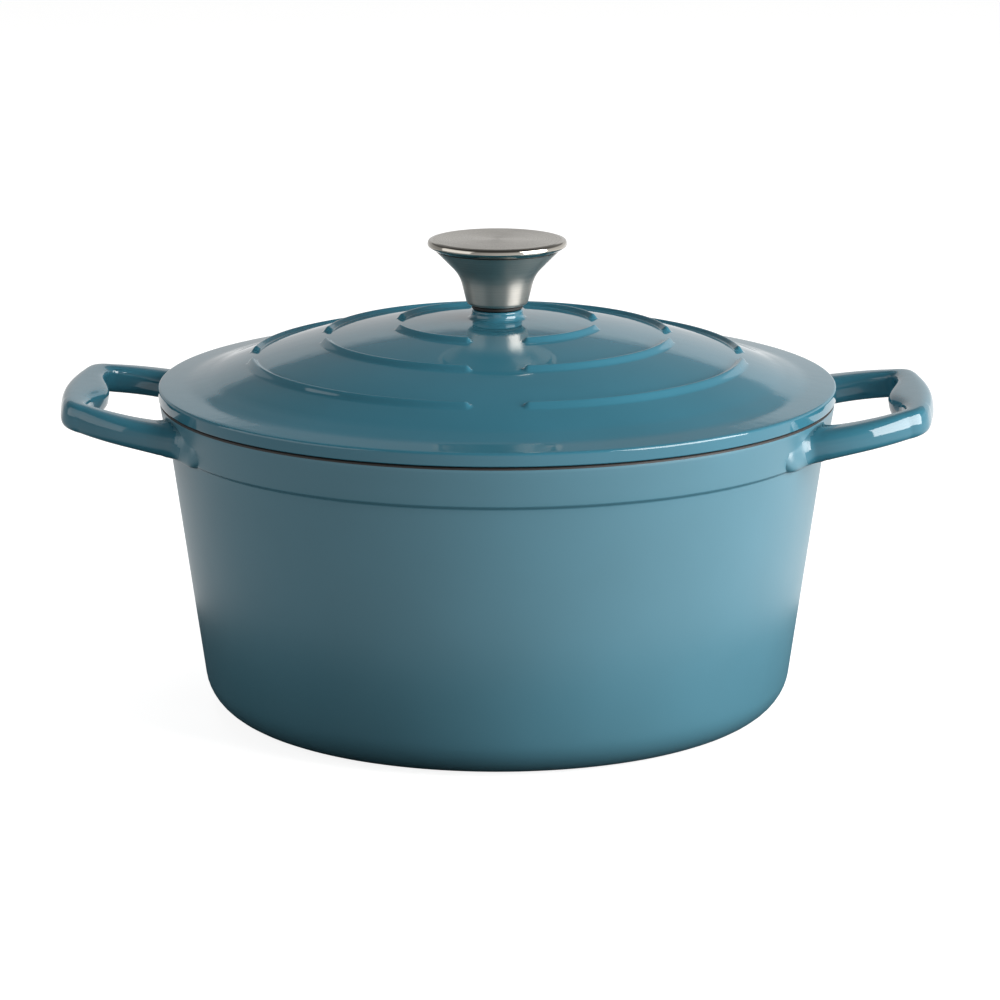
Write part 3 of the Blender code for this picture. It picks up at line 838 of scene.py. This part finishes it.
def cutBox(width, depth, low, high, at=(0, 0)):
    mesh = bmesh.new()
    bmesh.ops.create_cube(mesh, size=1)
    bmesh.ops.scale(mesh, verts=mesh.verts, vec=(width, depth, high - low))
    bmesh.ops.translate(mesh, verts=mesh.verts, vec=(*at, (high + low) / 2))
    data = bpy.data.meshes.new("cut")
    mesh.to_mesh(data)
    mesh.free()
    return newObject("cut", data, [])


def makeLockWasher():
    low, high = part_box("lock_washer")
    made = makeWasher("splitLockWasher", "lock_washer", 0.25 * mm)
    slit = cutBox(2 * high.x, fastener["slit"] * mm, low.z - mm, high.z + mm, (high.x, 0))
    combined(made, "DIFFERENCE", slit)
    return asPiece(made, "lock_washer", "washers")


def makeScrew():
    low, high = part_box("lid_screw")
    headTop = low.z + fastener["headHeight"] * mm
    radius = fastener["screwRadius"] * mm
    root = radius - fastener["threadDepth"] * mm
    pitch = fastener["pitch"] * mm
    head = roundedOutline([
        (0.0, low.z, 0.0),
        (high.x, low.z, fastener["headHeight"] * mm * 0.6),
        (high.x, headTop, 0.2 * mm),
        (root, headTop, 0.0),
    ])
    turns = int((high.z - headTop) / pitch)
    thread = []
    for k in range(turns):
        foot = headTop + pitch * (k + 0.15)
        # each ridge as shares of the pitch: flank, narrow crest, flank
        thread += [(root, foot), (radius, foot + pitch * 0.4)]
        thread += [(radius, foot + pitch * 0.5), (root, foot + pitch * 0.9)]
    tip = [(root * 0.8, high.z), (0.0, high.z)]
    outline = head[:-1] + [(root, headTop)] + thread + tip
    data = turnedMesh("lidScrew", outline, fastener["around"], False)
    made = newObject("lidScrew", data, [zincSteel])
    reach = (low.z - mm, low.z + fastener["crossDepth"] * mm)
    combined(made, "DIFFERENCE", cutBox(fastener["crossLength"] * mm, fastener["crossWidth"] * mm, *reach))
    combined(made, "DIFFERENCE", cutBox(fastener["crossWidth"] * mm, fastener["crossLength"] * mm, *reach))
    return asPiece(made, "lid_screw", "screw")


asPiece(makeWasher("flatWasher", "flat_washer", 0.2 * mm), "flat_washer", "washers")
makeLockWasher()
makeScrew()

# Stage, light and camera

studio = {
    "floorColour": "a5a5a4",
    "floorSize": 40,  # m
    "floorGlow": 0.86,  # the sweep is lit through from behind as well
    "shadeColour": "555554",
    "shadeRadius": 0.21,  # m, how far the pot's own shade reaches over the table
    "horizonGlow": 0.75,  # brightness round the horizon
    "upperGlow": 0.3,  # just above it
    "overheadGlow": 0.08,
    "tableGlow": 1.0,  # what the table gives back further off
    "underGlow": 0.06,  # and close in
    "sideGlow": (0.55, 1.4),  # left and right of the room against the middle
    # where one glow passes into the next, as heights on a sphere of radius 1
    "horizonTop": (0.29, 0.35),
    "upperBand": (0.36, 0.85),
    "tableEdge": (-0.1, 0.0),
    "tableMiddle": (-0.75, -0.45),
    "softBoxes": {
        # name: (place in m, size in m, watts)
        "leftBank": ((-1.5, -0.5, 0.7), (1.9, 1.2), 9),
        "rightBank": ((1.5, -0.6, 0.65), (1.4, 1.3), 64),
        "topBank": ((0.0, 0.4, 1.9), (1.6, 1.2), 12),
    },
    "softBoxesAim": (0, 0, 0.1),
    "lens": 147.73,
    "cameraFrom": (0.00108, -1.6066, 0.4584),
    "cameraTo": (0.00108, 0.0, 0.0825),
}


def newStage(name, mesh, drop, material):
    # drop keeps it just clear of the base it lies under
    bmesh.ops.translate(mesh, verts=mesh.verts, vec=(0, 0, -drop))
    data = bpy.data.meshes.new(name)
    mesh.to_mesh(data)
    mesh.free()
    made = newObject(name, data, [material])
    return made


def makeFloor():
    sweep = newMaterial("paleSweep", {
        "Base Color": toLinear(studio["floorColour"]), "Roughness": 0.9, "Specular IOR Level": 0.1,
        "Emission Color": toLinear("ffffff"), "Emission Strength": studio["floorGlow"],
    })[0]
    mesh = bmesh.new()
    bmesh.ops.create_grid(mesh, x_segments=1, y_segments=1, size=studio["floorSize"])
    floor = newStage("floor", mesh, 0.2 * mm, sweep)
    floor.visible_diffuse = False  # the sky's lower half stands in for what the floor gives back
    floor.visible_glossy = False


def makeShade():
    # close round the pot the table gives little light back, so the pot darkens towards its foot
    shaded = newMaterial("shadedTable", {
        "Base Color": toLinear(studio["shadeColour"]), "Roughness": 0.9, "Specular IOR Level": 0.1,
    })[0]
    mesh = bmesh.new()
    bmesh.ops.create_circle(mesh, cap_ends=True, segments=96, radius=studio["shadeRadius"])
    shade = newStage("tableShade", mesh, mm, shaded)
    shade.visible_camera = False
    shade.visible_shadow = False


def glowRamp(tree, value, edges, low, high, **settings):
    ends = {"Value": value, "From Min": edges[0], "From Max": edges[1], "To Min": low, "To Max": high}
    return addNode(tree, "ShaderNodeMapRange", ends, **settings).outputs[0]


def makeSky():
    world = bpy.data.worlds.new("studioSky")
    bpy.context.scene.world = world
    world.use_nodes = True
    tree = world.node_tree
    way = addNode(tree, "ShaderNodeTexCoord").outputs["Generated"]
    apart = addNode(tree, "ShaderNodeSeparateXYZ", {"Vector": way})
    height = apart.outputs["Z"]
    upper = glowRamp(tree, height, studio["upperBand"], studio["upperGlow"], studio["overheadGlow"])
    above = glowRamp(
        tree, height, studio["horizonTop"], studio["horizonGlow"], upper, interpolation_type="SMOOTHSTEP"
    )
    table = glowRamp(tree, height, studio["tableEdge"], studio["tableGlow"], above)
    below = glowRamp(tree, height, studio["tableMiddle"], studio["underGlow"], table)
    side = glowRamp(tree, apart.outputs["X"], (-1.0, 1.0), *studio["sideGlow"])
    glow = addNode(tree, "ShaderNodeMath", {0: below, 1: side}, operation="MULTIPLY")
    tree.links.new(glow.outputs[0], tree.nodes["Background"].inputs["Strength"])
    tree.nodes["Background"].inputs["Color"].default_value = toLinear("ffffff")


def aim(made, place, target):
    made.location = place
    made.rotation_euler = (Vector(target) - Vector(place)).to_track_quat("-Z", "Y").to_euler()
    bpy.context.scene.collection.objects.link(made)


def makeLights():
    for name, (place, size, watts) in studio["softBoxes"].items():
        lamp = bpy.data.lights.new(name, "AREA")
        lamp.shape = "RECTANGLE"
        lamp.size, lamp.size_y = size
        lamp.energy = watts
        bank = bpy.data.objects.new(name, lamp)
        bank.visible_glossy = name != "topBank"  # overhead light that the lid doesn't mirror
        aim(bank, place, studio["softBoxesAim"])


def makeCamera():
    # it looks square at the lid, so it stands round by the lid's own turn
    turn = Matrix.Rotation(lidTurn, 3, "Z")
    made = bpy.data.objects.new("camera", bpy.data.cameras.new("camera"))
    made.data.lens = studio["lens"]
    made.data.clip_start = 0.05
    aim(made, turn @ Vector(studio["cameraFrom"]), turn @ Vector(studio["cameraTo"]))
    bpy.context.scene.camera = made


makeFloor()
makeShade()
makeSky()
makeLights()
makeCamera()
bpy.context.scene.view_settings.view_transform = "Standard"
print("stage ready")
